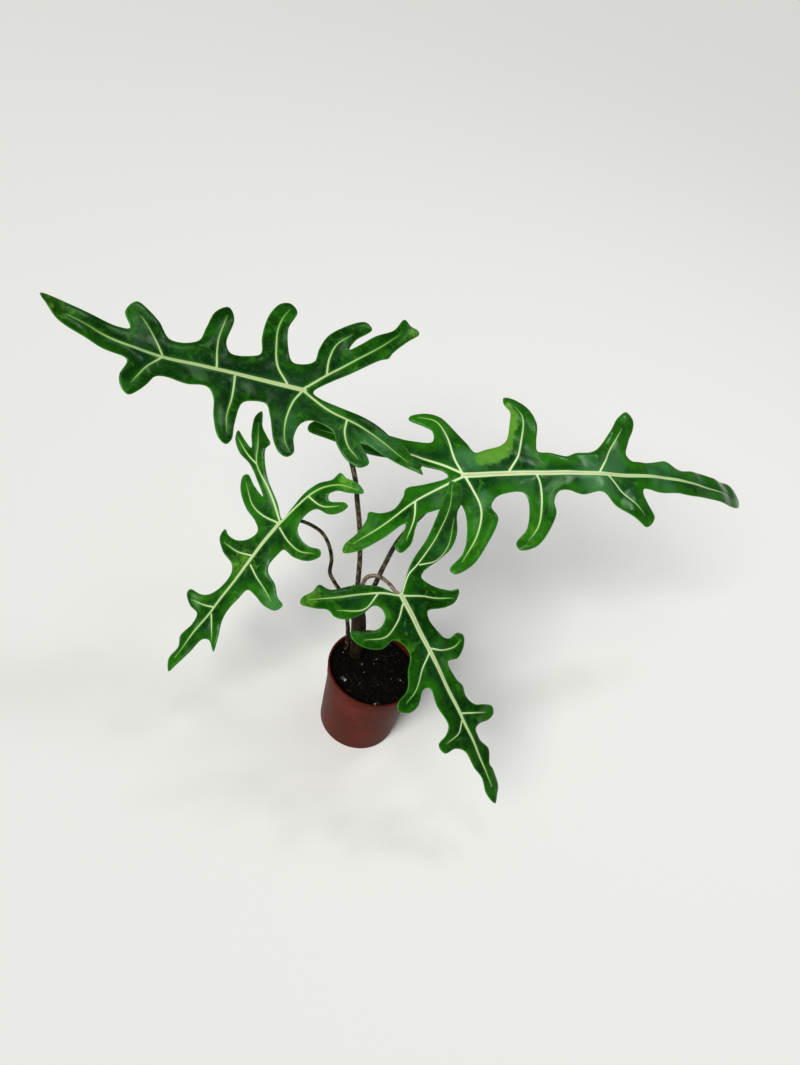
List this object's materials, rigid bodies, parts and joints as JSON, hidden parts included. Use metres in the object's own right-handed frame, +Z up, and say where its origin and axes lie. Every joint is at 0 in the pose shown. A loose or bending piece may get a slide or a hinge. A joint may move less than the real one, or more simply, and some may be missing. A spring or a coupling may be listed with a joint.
{
  "type": "potted plant",
  "caption": "Potted alocasia with deeply lobed, upward-held and hanging green leaves on slim dark stalks from a short trunk, in a small round terracotta-coloured nursery pot of soil.",
  "frame": {"origin": "centre of the pot's flat underside", "axes": "+Z up from the underside, the way the plant grows; -Y towards the front of the plant, from where the picture was taken; +X to its right, towards the longest leaf"},
  "size_m": [0.6217, 0.3337, 0.3957],
  "materials": {
    "pot": "satin",
    "soil": "matte",
    "stalk": "satin",
    "blade": "satin"
  },
  "bodies": {
    "root": {"pot": "pot", "soil": "soil", "stem": "stalk", "petiole_a": "stalk", "blade_a": "blade", "petiole_b": "stalk", "blade_b": "blade", "petiole_c": "stalk", "blade_c": "blade", "petiole_d": "stalk", "blade_d": "blade"}
  },
  "joints": []
}
